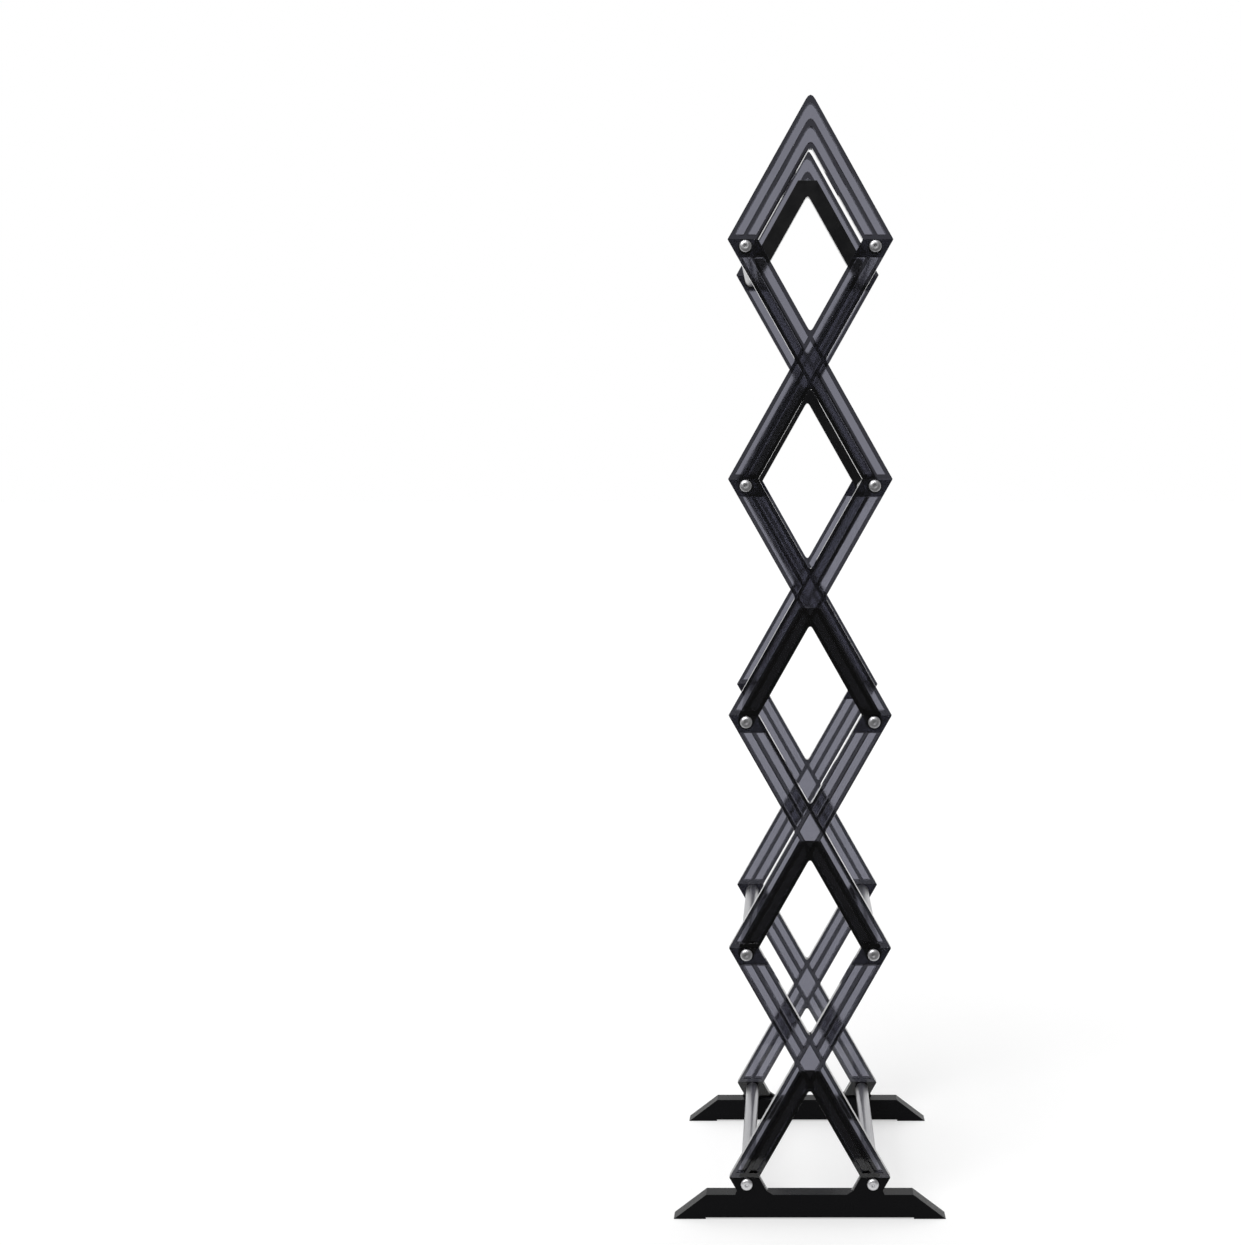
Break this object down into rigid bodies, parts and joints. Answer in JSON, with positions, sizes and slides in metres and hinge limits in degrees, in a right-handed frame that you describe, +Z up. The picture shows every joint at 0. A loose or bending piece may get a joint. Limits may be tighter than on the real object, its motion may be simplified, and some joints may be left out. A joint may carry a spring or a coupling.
{
  "type": "disc storage tower",
  "caption": "Tall open rack for disc cases: crossed smoke-tinted plastic bars stacked front and rear, joined by metal rods and standing on low black feet.",
  "frame": {"origin": "middle of the footprint, on the floor under both feet", "axes": "+Z up; +X to the right seen from the front, across the ladders; the front ladder faces -Y and the rods run along Y"},
  "size_m": [0.264, 0.3016, 1.075],
  "materials": {
    "smoke_plastic": "clear smoke-grey tint, polished, see-through where thin",
    "brace_plastic": "solid black, smooth",
    "foot_plastic": "solid black, moulded satin",
    "rod_metal": "satin silver tube stock",
    "screw_metal": "bright plated"
  },
  "bodies": {
    "root": {"front_foot": "foot_plastic", "front_cross_1": "smoke_plastic", "front_cross_2": "smoke_plastic", "front_cross_3": "smoke_plastic", "front_cross_4": "smoke_plastic", "front_top_peak": "smoke_plastic", "rear_foot": "foot_plastic", "rear_cross_1": "smoke_plastic", "rear_cross_2": "smoke_plastic", "rear_cross_3": "smoke_plastic", "rear_cross_4": "smoke_plastic", "rear_top_peak": "smoke_plastic", "front_brace_1": "brace_plastic", "front_brace_2": "brace_plastic", "front_brace_3": "brace_plastic", "rear_brace_4": "brace_plastic", "rear_brace_5": "brace_plastic", "rod_1_left": "rod_metal", "front_screw_1_left": "screw_metal", "rear_screw_1_left": "screw_metal", "rod_1_right": "rod_metal", "front_screw_1_right": "screw_metal", "rear_screw_1_right": "screw_metal", "rod_2_left": "rod_metal", "front_screw_2_left": "screw_metal", "rear_screw_2_left": "screw_metal", "rod_2_right": "rod_metal", "front_screw_2_right": "screw_metal", "rear_screw_2_right": "screw_metal", "rod_3_left": "rod_metal", "front_screw_3_left": "screw_metal", "rear_screw_3_left": "screw_metal", "rod_3_right": "rod_metal", "front_screw_3_right": "screw_metal", "rear_screw_3_right": "screw_metal", "rod_4_left": "rod_metal", "front_screw_4_left": "screw_metal", "rear_screw_4_left": "screw_metal", "rod_4_right": "rod_metal", "front_screw_4_right": "screw_metal", "rear_screw_4_right": "screw_metal", "rod_5_left": "rod_metal", "front_screw_5_left": "screw_metal", "rear_screw_5_left": "screw_metal", "rod_5_right": "rod_metal", "front_screw_5_right": "screw_metal", "rear_screw_5_right": "screw_metal"}
  },
  "joints": []
}
